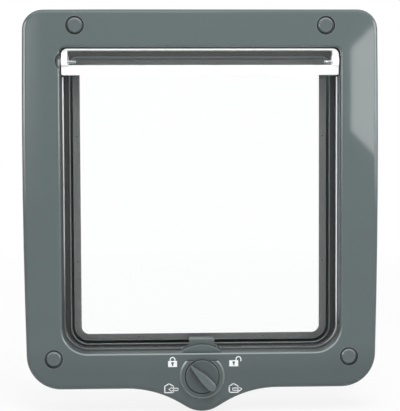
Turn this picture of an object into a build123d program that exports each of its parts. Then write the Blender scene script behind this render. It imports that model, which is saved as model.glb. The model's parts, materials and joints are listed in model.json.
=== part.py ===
"""Four-way cat flap for a house door: two clamping frames, a clear swinging flap and a rotary lock."""

import math
import os

from build123d import *

os.makedirs("parts", exist_ok=True)

# Millimetres. X runs across the flap, Y from the room out to the garden and Z up.
# The origin is the middle of the frame on the door's inside face.

# Passage for the cat, which sets the size of everything round it
tunnel_width = 206.2
tunnel_height = 232.0
passage_drop = 0.9

# Room-side frame
border_side = 31.8
border_top = 31.5
border_bottom = 30.5
top_draw = 1.2
bottom_draw = 2.6
top_corner_radius = 17.0
bottom_corner_radius = 29.0
bezel_edge_radius = 4.0
wall = 2.5
opening_top_radius = 5.0
opening_bottom_radius = 22.0
opening_edge_radius = 1.6
hinge_notch_radius = 7.9
hinge_notch_reach = 3.8
hinge_notch_depth = 4.5
rib_thickness = 1.6
rib_pitch = 60.0

# Collar through the door, whose sleeve plugs into the frame and ends below the hinge
collar_reach = 16.0
collar_seat = 0.6
liner_thickness = 2.0
liner_front = 3.0
liner_back = -7.0
liner_top_drop = 1.2
liner_edge_radius = 1.2

# Garden-side frame and its tunnel
door_thickness = 40.0
outer_depth = 10.0
tunnel_corner_radius = 6.5
tunnel_front = 12.0
tunnel_flare_side = 5.5
tunnel_flare_top = 4.0
tunnel_flare_bottom = 8.0
ring_side = 6.1
ring_top = 4.0
ring_bottom = 5.8
ring_thickness = 2.5
dimple_radius = 1.0
dimple_depth = 0.9
dimple_spacing = 108.0

# Lip seal between the two frames
seal_thickness = 2.5
seal_lip_thickness = 1.2
seal_gap = 1.8
seal_side = 6.75
seal_top = 7.1
seal_bottom = 4.5
seal_bead_width = 1.2
seal_bead_height = 1.2

# Clear flap
flap_thickness = 3.0
flap_side_gap = 4.2
flap_bottom_gap = 5.0
flap_corner_radius = 5.0
header_height = 21.8
hinge_drop = 10.8
header_thickness = 7.0
header_end_gap = 1.2
header_top_gap = 1.0
header_top_rim = 1.6
header_end_rim = 5.0
header_bottom_rim = 8.1
header_edge_radius = 1.0
knuckle_radius = 5.5
knuckle_length = 5.6

# Hinge pins and their bushes
pin_radius = 1.2
pin_grip = 12.0
pin_reach = 8.5
bush_wall = 1.2
bush_flange_radius = 5.0
bush_flange = 0.9
bush_length = 10.0
pin_clearance = 0.05
press_clearance = 0.02

# Clamping screws and their caps
top_screw_inset_x = 44.85
top_screw_inset_z = 13.7
bottom_screw_inset_x = 24.95
bottom_screw_inset_z = 26.3
screw_radius = 2.0
screw_head_radius = 4.2
screw_head_height = 2.8
screw_head_gap = 0.8
screw_grip = 7.0
screw_slack = 0.3
thread_clearance = 0.05
boss_wall = 3.5
cap_radius = 6.8
cap_thickness = 2.4
cap_recess = 2.2
cap_gap = 1.05
cap_bevel = 1.5
cap_plug_length = 1.2
cap_wall = 2.0

# Lock housing, dial and catches
lock_height = 10.8
housing_radius = 26.4
housing_wall = 2.5
lobe_cover = 4.1
lobe_drop = 5.5
lobe_ramp_angle = 31.0
lobe_blend_radius = 87.0
dome_plate = 1.9
dome_bevel = 0.7
dome_setback = 2.6
dial_radius = 13.95
dial_thickness = 3.3
dial_ring_width = 4.3
dial_ring_height = 2.0
dial_ring_bevel = 1.4
dial_gap = 0.95
dial_edge_radius = 0.8
grip_height = 5.0
grip_tip_radius = 1.2
grip_tip_reach = 13.4
grip_heel_radius = 4.1
grip_heel_reach = 15.2
grip_shoulder = 2.5
grip_taper = 8.0
grip_angle = 135.0
shaft_radius = 6.0
shaft_clearance = 0.06
drive_width = 6.4
drive_clearance = 0.05
drive_end = 4.0
cam_hub_radius = 5.2
cam_lobe_radius = 11.0
cam_bar_width = 9.0
cam_corner_radius = 2.0
cam_side_gap = 0.1
cam_journal_radius = 4.0
catch_width = 21.6
catch_thickness = 2.8
catch_flap_gap = 0.8
catch_cover_gap = 0.5
catch_rest_gap = 5.9
catch_slot_gap = 0.3
catch_corner_radius = 1.5
catch_bevel = 0.7
catch_lug_width = 1.8
catch_lug_height = 2.0
catch_saddle_gap = 0.4
ledge_height = 2.0
ledge_width = 5.6
cover_thickness = 2.4
cover_gap = 0.3
cover_screw_inset = 4.1
cover_screw_radius = 1.2
cover_screw_head_radius = 2.6
cover_screw_head_height = 1.5
cover_screw_length = 8.0
cover_post_wall = 1.75
dial_screw_radius = 1.2
dial_screw_head_radius = 2.6
dial_screw_head_height = 1.6
dial_screw_length = 8.0

# Heights and depths worked out from the sizes above. A depth is measured from the door into the room.
tunnel_top = tunnel_height / 2 - passage_drop
tunnel_bottom = -tunnel_height / 2 - passage_drop
opening_width = tunnel_width + 2 * (ring_side + seal_gap + seal_side)
opening_top = tunnel_top + ring_top + seal_gap + seal_top
opening_bottom = tunnel_bottom - ring_bottom - seal_gap - seal_bottom
frame_width = opening_width + 2 * border_side
frame_top = opening_top + border_top
frame_bottom = opening_bottom - border_bottom
outer_back = -(door_thickness + outer_depth)
rear_catch_depth = cover_thickness + catch_cover_gap
flap_depth = rear_catch_depth + catch_thickness + catch_flap_gap + flap_thickness / 2
front_catch_depth = flap_depth + flap_thickness / 2 + catch_flap_gap
pocket_floor = front_catch_depth + catch_thickness + cam_side_gap + cover_gap
dome_front = pocket_floor + dome_plate
bezel_depth = dome_front + dome_setback
screw_head_seat = bezel_depth - cap_recess - cap_plug_length - screw_head_gap - screw_head_height
header_width = opening_width - 2 * header_end_gap
header_top = opening_top - header_top_gap
header_bottom = header_top - header_height
hinge_z = header_top - hinge_drop
flap_width = tunnel_width - 2 * flap_side_gap
flap_bottom = tunnel_bottom + flap_bottom_gap
liner_top = header_bottom - liner_top_drop
bush_radius = pin_radius + pin_clearance + bush_wall
lock_z = frame_bottom + lock_height
lobe_radius = housing_radius + lobe_cover - lobe_drop
lobe_z = lock_z - lobe_drop
pocket_radius = housing_radius - housing_wall
cover_screw_circle = pocket_radius - cover_screw_inset
dial_back = bezel_depth + cover_gap
dial_face = dial_back + dial_thickness
catch_top = flap_bottom - catch_rest_gap
saddle_radius = cam_lobe_radius + catch_saddle_gap
catch_foot = lock_z + saddle_radius * math.cos(math.radians(40))
screw_hole_radius = screw_radius + screw_slack
screw_places = [
    (top_screw_inset_x - frame_width / 2, frame_top - top_screw_inset_z),
    (frame_width / 2 - top_screw_inset_x, frame_top - top_screw_inset_z),
    (bottom_screw_inset_x - frame_width / 2, frame_bottom + bottom_screw_inset_z),
    (frame_width / 2 - bottom_screw_inset_x, frame_bottom + bottom_screw_inset_z),
]
cover_screw_places = [
    (
        cover_screw_circle * math.cos(math.radians(angle)),
        lock_z + cover_screw_circle * math.sin(math.radians(angle)),
    )
    for angle in (-90, -20, 200)
]


def room(depth):
    """Return the upright plane at this depth into the room, facing the room."""
    return Plane.XZ.offset(depth)


def panel(width, top, bottom, top_radius, bottom_radius):
    """Sketch an upright panel whose top and bottom corners have their own radii."""
    with Locations((0, (top + bottom) / 2)):
        Rectangle(width, top - bottom)
    fillet(vertices().group_by(Axis.Y)[-1], top_radius)
    fillet(vertices().group_by(Axis.Y)[0], bottom_radius)


def frame_outline():
    """Sketch the outline that both frames share, with bowed sides that draw in towards the bottom."""
    top_x = frame_width / 2 - top_draw
    bottom_x = frame_width / 2 - bottom_draw
    middle = (frame_top + frame_bottom) / 2
    edges_round = [
        Edge.make_line((-top_x, frame_top), (top_x, frame_top)),
        Edge.make_three_point_arc((top_x, frame_top), (frame_width / 2, middle), (bottom_x, frame_bottom)),
        Edge.make_line((bottom_x, frame_bottom), (-bottom_x, frame_bottom)),
        Edge.make_three_point_arc((-bottom_x, frame_bottom), (-frame_width / 2, middle), (-top_x, frame_top)),
    ]
    make_face(edges_round)
    fillet(vertices().group_by(Axis.Y)[-1], top_corner_radius)
    fillet(vertices().group_by(Axis.Y)[0], bottom_corner_radius)


def lobe():
    """Sketch the rounded lobe under the dial, with ramps that run into the bottom edge."""
    ramp = math.radians(lobe_ramp_angle)
    touch_x = lobe_radius * math.sin(ramp)
    touch_z = lobe_z - lobe_radius * math.cos(ramp)
    foot_x = touch_x + (frame_bottom - touch_z) / math.tan(ramp)
    with Locations((0, lobe_z)):
        Circle(lobe_radius)
    ramp_points = [(-foot_x, frame_bottom), (-touch_x, touch_z), (touch_x, touch_z), (foot_x, frame_bottom)]
    Polygon(*ramp_points, align=None)
    feet = [v for v in vertices() if abs(abs(v.X) - foot_x) < 0.01 and abs(v.Y - frame_bottom) < 0.01]
    fillet(feet, lobe_blend_radius)


def opening(inset):
    """Sketch the bezel's opening, drawn in by an inset."""
    panel(
        opening_width - 2 * inset,
        opening_top - inset,
        opening_bottom + inset,
        opening_top_radius - inset,
        opening_bottom_radius - inset,
    )


def ring_front():
    """Sketch the outline of the flange on the tunnel's front end."""
    panel(
        tunnel_width + 2 * ring_side,
        tunnel_top + ring_top,
        tunnel_bottom - ring_bottom,
        tunnel_corner_radius,
        tunnel_corner_radius + ring_side,
    )


def tunnel_mouth(growth):
    """Sketch the tunnel's section where it starts, grown by a wall or by nothing."""
    panel(
        tunnel_width + 2 * growth,
        tunnel_top + growth,
        tunnel_bottom - growth,
        tunnel_corner_radius + growth,
        tunnel_corner_radius + growth,
    )


def tunnel_exit(growth):
    """Sketch the tunnel's flared section at the garden side."""
    panel(
        tunnel_width + 2 * (tunnel_flare_side + growth),
        tunnel_top + tunnel_flare_top + growth,
        tunnel_bottom - tunnel_flare_bottom - growth,
        tunnel_corner_radius + growth,
        tunnel_corner_radius + growth,
    )


def lip(growth):
    """Sketch the inner edge of the lip seal, grown by a bead or by nothing."""
    reach = seal_gap + growth
    panel(
        tunnel_width + 2 * (ring_side + reach),
        tunnel_top + ring_top + reach,
        tunnel_bottom - ring_bottom - reach,
        tunnel_corner_radius + growth,
        tunnel_corner_radius + ring_side + reach,
    )


def export(part, name):
    """Label a finished piece and write it."""
    part.label = name
    export_step(part, f"parts/{name}.step")


# Outline of the wall round the room-side opening
with BuildSketch() as inner_wall_outline:
    opening(-wall)

# Room-side frame: a hollow bezel with hinge bosses and the lock housing
with BuildPart() as inner_frame:
    with BuildSketch(room(0)):
        frame_outline()
        lobe()
    extrude(amount=bezel_depth)
    fillet(inner_frame.faces().sort_by(Axis.Y)[0].outer_wire().edges(), bezel_edge_radius)
    with BuildSketch(room(0)):
        frame_outline()
        lobe()
        offset(amount=-wall)
        add(inner_wall_outline.sketch, mode=Mode.SUBTRACT)
    extrude(amount=bezel_depth - wall, mode=Mode.SUBTRACT)
    ceiling = inner_frame.faces().filter_by(Axis.Y).sort_by(Axis.Y)[1]
    fillet(ceiling.outer_wire().edges(), bezel_edge_radius - wall)

    # Drum behind the bezel that walls in a notch beside the left hinge
    notch_place = (hinge_notch_radius - hinge_notch_reach - opening_width / 2, hinge_z)
    notch_floor = bezel_depth - hinge_notch_depth
    with BuildSketch(room(notch_floor - wall)):
        with Locations(notch_place):
            Circle(hinge_notch_radius + wall)
    extrude(amount=hinge_notch_depth)

    # Opening, with its wall cut back from the door to seat the collar
    with BuildSketch(room(0)):
        opening(0)
    extrude(amount=bezel_depth, mode=Mode.SUBTRACT)
    fillet(inner_frame.faces().sort_by(Axis.Y)[0].inner_wires().edges(), opening_edge_radius)
    with BuildSketch(room(0)):
        add(inner_wall_outline.sketch)
    extrude(amount=collar_seat, mode=Mode.SUBTRACT)
    with BuildSketch(room(notch_floor)):
        with Locations(notch_place):
            Circle(hinge_notch_radius)
    extrude(amount=hinge_notch_depth, mode=Mode.SUBTRACT)

    # Stiffening ribs across the hollow
    rib_inner = opening_width / 2 + wall / 2
    rib_outer = frame_width / 2 - bezel_edge_radius / 2
    rib_rows = int((opening_top - opening_bottom - 2 * opening_bottom_radius) / rib_pitch)
    for row in range(rib_rows):
        rib_z = (opening_top + opening_bottom) / 2 + (row - (rib_rows - 1) / 2) * rib_pitch
        with BuildSketch(room(wall)):
            for side in (-1, 1):
                with Locations((side * (rib_inner + rib_outer) / 2, rib_z)):
                    Rectangle(rib_outer - rib_inner, rib_thickness)
        extrude(amount=bezel_depth - wall / 2 - wall)

    # Hinge bosses behind the inner wall, bored for the bushes
    for side in (-1, 1):
        boss_plane = Plane(
            origin=(side * (opening_width / 2 + wall / 2), -flap_depth, hinge_z), z_dir=(side, 0, 0)
        )
        with BuildSketch(boss_plane):
            Circle(bush_flange_radius)
        extrude(amount=bush_length)
        with BuildSketch(boss_plane.offset(-wall)):
            Circle(bush_radius + press_clearance)
        extrude(amount=bush_length + 2 * wall, mode=Mode.SUBTRACT)

    # Screw bosses, with a recess for each cap and a seat for each head
    with BuildSketch(room(0)):
        with Locations(*screw_places):
            Circle(screw_radius + boss_wall)
    extrude(amount=bezel_depth - wall / 2)
    with BuildSketch(room(screw_head_seat - cap_wall)):
        with Locations(*screw_places):
            Circle(cap_radius + cap_gap + cap_wall)
    extrude(amount=bezel_depth - wall / 2 - screw_head_seat + cap_wall)
    with BuildSketch(room(bezel_depth - cap_recess)):
        with Locations(*screw_places):
            Circle(cap_radius + cap_gap)
    extrude(amount=cap_recess, mode=Mode.SUBTRACT)
    with BuildSketch(room(screw_head_seat)):
        with Locations(*screw_places):
            Circle(screw_head_radius + screw_slack)
    extrude(amount=bezel_depth - screw_head_seat, mode=Mode.SUBTRACT)
    with BuildSketch(room(0)):
        with Locations(*screw_places):
            Circle(screw_hole_radius)
    extrude(amount=bezel_depth, mode=Mode.SUBTRACT)

    # Lock housing: a drum round the dial's axis that stands up into the opening as a low dome
    with BuildSketch(room(0)):
        with Locations((0, lock_z)):
            Circle(housing_radius)
    extrude(amount=dome_front - dome_bevel)
    with BuildSketch(room(dome_front - dome_bevel)):
        with Locations((0, lock_z)):
            Circle(housing_radius)
    extrude(amount=dome_bevel, taper=45)
    with BuildSketch(room(0)):
        with Locations((0, lock_z)):
            Circle(pocket_radius)
    extrude(amount=pocket_floor, mode=Mode.SUBTRACT)
    with BuildSketch(room(cover_thickness)):
        with Locations(*cover_screw_places):
            Circle(cover_screw_radius + cover_post_wall)
        for side in (-1, 1):
            ledge_x = side * (catch_width / 2 + ledge_width / 2 - press_clearance)
            with Locations((ledge_x, catch_foot - ledge_height / 2)):
                Rectangle(ledge_width, ledge_height)
    extrude(amount=pocket_floor - cover_thickness)
    with BuildSketch(room(cover_thickness)):
        with Locations(*cover_screw_places):
            Circle(cover_screw_radius + thread_clearance)
    extrude(amount=cover_screw_length, mode=Mode.SUBTRACT)
    for depth in (rear_catch_depth, front_catch_depth):
        with BuildSketch(room(depth - catch_slot_gap)):
            with Locations((0, (catch_top + catch_foot) / 2)):
                Rectangle(catch_width + 2 * catch_slot_gap, catch_top - catch_foot)
        extrude(amount=catch_thickness + 2 * catch_slot_gap, mode=Mode.SUBTRACT)

    # Raised ring and bearing for the dial
    with BuildSketch(room(bezel_depth)):
        with Locations((0, lock_z)):
            Circle(dial_radius + dial_gap + dial_ring_width)
            Circle(dial_radius + dial_gap, mode=Mode.SUBTRACT)
        with Locations((0, lock_z + dial_radius - dial_edge_radius)):
            Rectangle(frame_width, lock_height, align=(Align.CENTER, Align.MIN), mode=Mode.SUBTRACT)
    extrude(amount=dial_ring_height)
    ring_arcs = inner_frame.faces().sort_by(Axis.Y)[0].edges().filter_by(GeomType.CIRCLE)
    chamfer(ring_arcs.sort_by(SortBy.RADIUS)[-1], dial_ring_bevel)
    with BuildSketch(room(0)):
        with Locations((0, lock_z)):
            Circle(shaft_radius + shaft_clearance)
    extrude(amount=bezel_depth, mode=Mode.SUBTRACT)
export(inner_frame.part, "inner_frame")

# Collar through the door: a tube behind the frame, with a stepped sleeve that plugs into its opening
with BuildPart() as door_collar:
    with BuildSketch(room(-collar_reach)):
        opening(-wall)
    extrude(amount=collar_reach + collar_seat)
    with BuildSketch(room(liner_back)):
        opening(press_clearance)
    extrude(amount=liner_front - liner_back)
    with BuildSketch(room(-collar_reach)):
        opening(liner_thickness)
    extrude(amount=collar_reach + liner_front, mode=Mode.SUBTRACT)
    fillet(door_collar.faces().sort_by(Axis.Y)[0].inner_wires().edges(), liner_edge_radius)
    with BuildSketch(room(-collar_reach)):
        opening(0)
    extrude(amount=collar_reach + liner_back, mode=Mode.SUBTRACT)
    with BuildSketch(room(liner_back)):
        opening(0)
        with Locations((0, (liner_top + frame_bottom) / 2)):
            Rectangle(frame_width, liner_top - frame_bottom, mode=Mode.SUBTRACT)
    extrude(amount=liner_front - liner_back, mode=Mode.SUBTRACT)

    # Clearance round the lock housing and the rear catch
    with BuildSketch(room(0)):
        with Locations((0, lock_z)):
            Circle(housing_radius + cover_gap)
        with Locations((0, (catch_top + catch_foot) / 2)):
            Rectangle(catch_width + 2 * catch_slot_gap, catch_top - catch_foot)
    extrude(amount=liner_front, mode=Mode.SUBTRACT)
export(door_collar.part, "door_collar")

# Garden-side frame: a hollow bezel, a flared tunnel that reaches into the collar, and four screw posts
with BuildPart() as outer_frame:
    with BuildSketch(room(-door_thickness)):
        frame_outline()
    extrude(amount=-outer_depth)
    fillet(outer_frame.faces().sort_by(Axis.Y)[-1].outer_wire().edges(), bezel_edge_radius)
    with BuildSketch(room(-door_thickness)):
        frame_outline()
        offset(amount=-wall)
    extrude(amount=wall - outer_depth, mode=Mode.SUBTRACT)
    outer_ceiling = outer_frame.faces().filter_by(Axis.Y).sort_by(Axis.Y)[-2]
    fillet(outer_ceiling.outer_wire().edges(), bezel_edge_radius - wall)
    with BuildSketch(room(-door_thickness)):
        with Locations(*screw_places):
            Circle(screw_radius + boss_wall)
    extrude(amount=wall / 2 - outer_depth)
    with BuildSketch(room(-door_thickness)):
        with Locations(*screw_places):
            Circle(screw_radius + thread_clearance)
    extrude(amount=-screw_grip - screw_slack, mode=Mode.SUBTRACT)
    with BuildSketch(room(-tunnel_front)):
        tunnel_mouth(wall)
    with BuildSketch(room(outer_back)):
        tunnel_exit(wall)
    loft()
    with BuildSketch(room(-tunnel_front)):
        ring_front()
    extrude(amount=-ring_thickness)
    with BuildSketch(room(-tunnel_front)):
        tunnel_mouth(0)
    with BuildSketch(room(outer_back)):
        tunnel_exit(0)
    loft(mode=Mode.SUBTRACT)
    with BuildSketch(room(-tunnel_front)):
        for side in (-1, 1):
            with Locations(
                (side * (tunnel_width + ring_side) / 2, dimple_spacing / 2),
                (side * (tunnel_width + ring_side) / 2, -dimple_spacing / 2),
                (side * dimple_spacing / 2, tunnel_top + ring_top / 2),
                (side * dimple_spacing / 2, tunnel_bottom - ring_bottom / 2),
            ):
                Circle(dimple_radius)
    extrude(amount=-dimple_depth, mode=Mode.SUBTRACT)
export(outer_frame.part, "outer_frame")

# Lip seal that stands on the liner's end and closes the gap round the tunnel's front
with BuildPart() as tunnel_seal:
    with BuildSketch(room(liner_back)):
        opening(press_clearance)
    extrude(amount=-seal_thickness)
    with BuildSketch(room(liner_back)):
        lip(seal_bead_width)
    extrude(amount=seal_bead_height)
    with BuildSketch(room(liner_back - seal_thickness)):
        lip(0)
    extrude(amount=seal_thickness + seal_bead_height, mode=Mode.SUBTRACT)
    fillet(tunnel_seal.faces().sort_by(Axis.Y)[0].edges(), seal_bead_width / 3)
    lip_edge = tunnel_seal.faces().sort_by(Axis.Y)[-1].inner_wires().edges()
    chamfer(lip_edge, seal_lip_thickness)
export(tunnel_seal.part, "tunnel_seal")

# Four clamping screws from the room side into the garden-side posts
with BuildPart() as frame_screws:
    with BuildSketch(room(screw_head_seat)):
        with Locations(*screw_places):
            Circle(screw_radius)
    extrude(amount=-screw_head_seat - door_thickness - screw_grip)
    with BuildSketch(room(screw_head_seat)):
        with Locations(*screw_places):
            Circle(screw_head_radius)
    extrude(amount=screw_head_height)
    head_tops = frame_screws.faces().group_by(Axis.Y)[0]
    chamfer(head_tops.edges(), screw_head_height / 4)
export(frame_screws.part, "frame_screws")


def screw_cap(x, z):
    """Return one push-in cap that hides a clamping screw."""
    with BuildPart() as cap:
        with BuildSketch(room(bezel_depth - cap_recess)):
            with Locations((x, z)):
                Circle(cap_radius)
        extrude(amount=cap_thickness)
        chamfer(cap.faces().sort_by(Axis.Y)[0].edges(), cap_bevel)
        with BuildSketch(room(bezel_depth - cap_recess)):
            with Locations((x, z)):
                Circle(screw_head_radius + screw_slack - press_clearance)
                Circle(screw_head_radius - cap_wall / 2, mode=Mode.SUBTRACT)
        extrude(amount=-cap_plug_length)
    return cap.part


cap_names = ["screw_cap_top_left", "screw_cap_top_right", "screw_cap_bottom_left", "screw_cap_bottom_right"]
for cap_name, (cap_x, cap_z) in zip(cap_names, screw_places):
    export(screw_cap(cap_x, cap_z), cap_name)

# Clear flap: a thin sheet below a ribbed header that carries the hinge knuckles
with BuildPart() as flap_panel:
    with BuildSketch(room(flap_depth - flap_thickness / 2)):
        panel(flap_width, header_bottom + header_bottom_rim / 2, flap_bottom, press_clearance, flap_corner_radius)
    extrude(amount=flap_thickness)
    with BuildSketch(room(flap_depth - header_thickness / 2)):
        panel(header_width, header_top, header_bottom, opening_top_radius, header_edge_radius)
    extrude(amount=header_thickness)
    window_top = header_top - header_top_rim
    window_bottom = header_bottom + header_bottom_rim
    window_depth = (header_thickness - flap_thickness) / 2
    for face_depth, inward in ((flap_depth + header_thickness / 2, -1), (flap_depth - header_thickness / 2, 1)):
        with BuildSketch(room(face_depth)):
            panel(
                header_width - 2 * header_end_rim,
                window_top,
                window_bottom,
                header_edge_radius,
                header_edge_radius,
            )
        extrude(amount=inward * window_depth, mode=Mode.SUBTRACT)
    for side in (-1, 1):
        end_plane = Plane(origin=(side * header_width / 2, -flap_depth, hinge_z), z_dir=(side, 0, 0))
        with BuildSketch(end_plane):
            Circle(knuckle_radius)
        extrude(amount=-knuckle_length)
        with BuildSketch(end_plane):
            Circle(pin_radius + press_clearance)
        extrude(amount=-pin_grip, mode=Mode.SUBTRACT)
export(flap_panel.part, "flap_panel")


def hinge_pin(side):
    """Return the steel pin at one end of the flap."""
    with BuildPart() as pin:
        pin_plane = Plane(
            origin=(side * (header_width / 2 - pin_grip), -flap_depth, hinge_z), z_dir=(side, 0, 0)
        )
        with BuildSketch(pin_plane):
            Circle(pin_radius)
        extrude(amount=pin_grip + pin_reach)
        chamfer(pin.edges(), pin_radius / 4)
    return pin.part


def hinge_bush(side):
    """Return the flanged bush that carries one pin in the frame."""
    with BuildPart() as bush:
        bush_plane = Plane(origin=(side * opening_width / 2, -flap_depth, hinge_z), z_dir=(side, 0, 0))
        with BuildSketch(bush_plane):
            Circle(bush_radius)
        extrude(amount=bush_length)
        with BuildSketch(bush_plane):
            Circle(bush_flange_radius)
        extrude(amount=-bush_flange)
        with BuildSketch(bush_plane.offset(-bush_flange)):
            Circle(pin_radius + pin_clearance)
        extrude(amount=bush_length + bush_flange, mode=Mode.SUBTRACT)
    return bush.part


for side_name, side in (("left", -1), ("right", 1)):
    export(hinge_pin(side), f"hinge_pin_{side_name}")
    export(hinge_bush(side), f"hinge_bush_{side_name}")

# Dial: a round knob with a pointed grip, a bearing and a square drive
with BuildPart() as lock_dial:
    with BuildSketch(room(dial_back)):
        with Locations((0, lock_z)):
            Circle(dial_radius)
    extrude(amount=dial_thickness)
    fillet(lock_dial.faces().sort_by(Axis.Y)[0].edges(), dial_edge_radius)
    grip_turn = math.radians(grip_angle)
    grip_plane = Plane(
        origin=(0, -dial_face, lock_z),
        x_dir=(math.cos(grip_turn), 0, math.sin(grip_turn)),
        z_dir=(0, -1, 0),
    )
    with BuildSketch(grip_plane):
        with Locations((grip_tip_reach - grip_tip_radius, 0)):
            Circle(grip_tip_radius)
        with Locations((-grip_shoulder, 0), (grip_heel_radius - grip_heel_reach, 0)):
            Circle(grip_heel_radius)
        make_hull()
    extrude(amount=grip_height, taper=grip_taper)
    chamfer(lock_dial.faces().sort_by(Axis.Y)[0].edges(), grip_tip_radius / 4)
    with BuildSketch(room(dial_back)):
        with Locations((0, lock_z)):
            Circle(shaft_radius)
    extrude(amount=pocket_floor - dial_back)
    with BuildSketch(room(drive_end)):
        with Locations((0, lock_z)):
            Rectangle(drive_width, drive_width)
    extrude(amount=dial_back - drive_end)
    with BuildSketch(room(drive_end)):
        with Locations((0, lock_z)):
            Circle(dial_screw_radius + thread_clearance)
    extrude(amount=dial_screw_length, mode=Mode.SUBTRACT)
export(lock_dial.part, "lock_dial")

# Cam drum on the dial's drive: a two-ended bar for the front catch and a quarter lobe for the rear one
with BuildPart() as lock_cam:
    cam_front = front_catch_depth + catch_thickness
    cam_disc = catch_thickness - 2 * cam_side_gap
    with BuildSketch(room(rear_catch_depth)):
        with Locations((0, lock_z)):
            Circle(cam_hub_radius)
    extrude(amount=cam_front - rear_catch_depth)
    with BuildSketch(room(front_catch_depth + cam_side_gap)):
        with Locations((0, lock_z)):
            SlotOverall(2 * cam_lobe_radius, cam_bar_width)
    extrude(amount=cam_disc)
    with BuildSketch(room(rear_catch_depth + cam_side_gap)):
        corner_reach = cam_lobe_radius - cam_corner_radius
        with Locations((0, lock_z)):
            Circle(cam_hub_radius)
        with Locations((corner_reach, lock_z), (0, lock_z + corner_reach)):
            Circle(cam_corner_radius)
        make_hull()
    extrude(amount=cam_disc)
    with BuildSketch(room(rear_catch_depth)):
        with Locations((0, lock_z)):
            Circle(cam_journal_radius)
    extrude(amount=cover_gap - rear_catch_depth)
    with BuildSketch(room(drive_end)):
        with Locations((0, lock_z)):
            Rectangle(drive_width + 2 * drive_clearance, drive_width + 2 * drive_clearance)
    extrude(amount=cam_front - drive_end, mode=Mode.SUBTRACT)
    with BuildSketch(room(0)):
        with Locations((0, lock_z)):
            Circle(dial_screw_radius + screw_slack)
    extrude(amount=drive_end, mode=Mode.SUBTRACT)
    with BuildSketch(room(0)):
        with Locations((0, lock_z)):
            Circle(dial_screw_head_radius + screw_slack)
    extrude(amount=cover_gap + dial_screw_head_height, mode=Mode.SUBTRACT)
export(lock_cam.part, "lock_cam")

# Screw that draws dial and cam together
with BuildPart() as dial_screw:
    head_seat = cover_gap + dial_screw_head_height
    with BuildSketch(room(head_seat)):
        with Locations((0, lock_z)):
            Circle(dial_screw_head_radius)
    extrude(amount=-dial_screw_head_height)
    with BuildSketch(room(head_seat)):
        with Locations((0, lock_z)):
            Circle(dial_screw_radius)
    extrude(amount=dial_screw_length)
export(dial_screw.part, "dial_screw")


def catch(depth):
    """Return one sliding catch: a blunt nose over a saddle that straddles the cam."""
    with BuildPart() as plate:
        with BuildSketch(room(depth)):
            panel(catch_width, catch_top, catch_foot, catch_corner_radius, press_clearance)
            with Locations((0, catch_foot + catch_lug_height / 2)):
                Rectangle(catch_width + 2 * catch_lug_width, catch_lug_height)
            with Locations((0, lock_z)):
                Circle(saddle_radius, mode=Mode.SUBTRACT)
        extrude(amount=catch_thickness)
        chamfer(plate.faces().sort_by(Axis.Z)[-1].edges(), catch_bevel)
    return plate.part


export(catch(front_catch_depth), "front_catch")
export(catch(rear_catch_depth), "rear_catch")

# Cover that closes the housing against the door and carries the cam's journal
with BuildPart() as lock_cover:
    with BuildSketch(room(0)):
        with Locations((0, lock_z)):
            Circle(pocket_radius - cover_gap)
            Circle(cam_journal_radius + shaft_clearance, mode=Mode.SUBTRACT)
        with Locations(*cover_screw_places):
            Circle(cover_screw_radius + thread_clearance, mode=Mode.SUBTRACT)
    extrude(amount=cover_thickness)
    with BuildSketch(room(0)):
        with Locations(*cover_screw_places):
            Circle(cover_screw_head_radius + screw_slack)
    extrude(amount=cover_screw_head_height, mode=Mode.SUBTRACT)
export(lock_cover.part, "lock_cover")

# Three screws that hold the cover
with BuildPart() as cover_screws:
    with BuildSketch(room(cover_screw_head_height)):
        with Locations(*cover_screw_places):
            Circle(cover_screw_head_radius)
    extrude(amount=-cover_screw_head_height)
    with BuildSketch(room(cover_screw_head_height)):
        with Locations(*cover_screw_places):
            Circle(cover_screw_radius)
    extrude(amount=cover_screw_length)
export(cover_screws.part, "cover_screws")
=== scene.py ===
"""Studio view of the four-way cat flap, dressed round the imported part."""

import json
import math
from types import SimpleNamespace

import bpy
from mathutils import Matrix, Vector


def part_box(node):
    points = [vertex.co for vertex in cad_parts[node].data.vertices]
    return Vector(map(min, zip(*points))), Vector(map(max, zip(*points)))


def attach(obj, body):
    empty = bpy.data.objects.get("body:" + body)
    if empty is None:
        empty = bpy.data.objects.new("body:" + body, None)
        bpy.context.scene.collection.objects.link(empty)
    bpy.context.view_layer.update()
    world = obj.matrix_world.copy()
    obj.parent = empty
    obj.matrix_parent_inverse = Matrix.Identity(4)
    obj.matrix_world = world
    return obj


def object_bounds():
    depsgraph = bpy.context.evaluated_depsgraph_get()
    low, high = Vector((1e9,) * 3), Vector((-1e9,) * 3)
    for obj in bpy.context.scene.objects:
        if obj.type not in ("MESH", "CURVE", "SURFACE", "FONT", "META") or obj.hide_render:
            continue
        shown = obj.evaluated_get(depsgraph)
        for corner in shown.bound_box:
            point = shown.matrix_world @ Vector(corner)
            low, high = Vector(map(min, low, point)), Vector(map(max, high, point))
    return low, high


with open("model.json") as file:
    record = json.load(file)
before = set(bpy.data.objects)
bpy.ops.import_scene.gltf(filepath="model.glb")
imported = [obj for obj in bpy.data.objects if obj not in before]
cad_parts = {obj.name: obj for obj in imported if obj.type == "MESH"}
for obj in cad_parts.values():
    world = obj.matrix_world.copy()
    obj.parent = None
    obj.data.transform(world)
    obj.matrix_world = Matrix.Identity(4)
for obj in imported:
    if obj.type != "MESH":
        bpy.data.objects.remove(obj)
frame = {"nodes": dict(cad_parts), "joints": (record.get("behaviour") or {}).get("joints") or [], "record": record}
cad_low, cad_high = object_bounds()
nodes = frame["nodes"]
dial_axis = Vector(next(joint for joint in frame["joints"] if joint["name"] == "dial_turn")["pos_m"])

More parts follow.
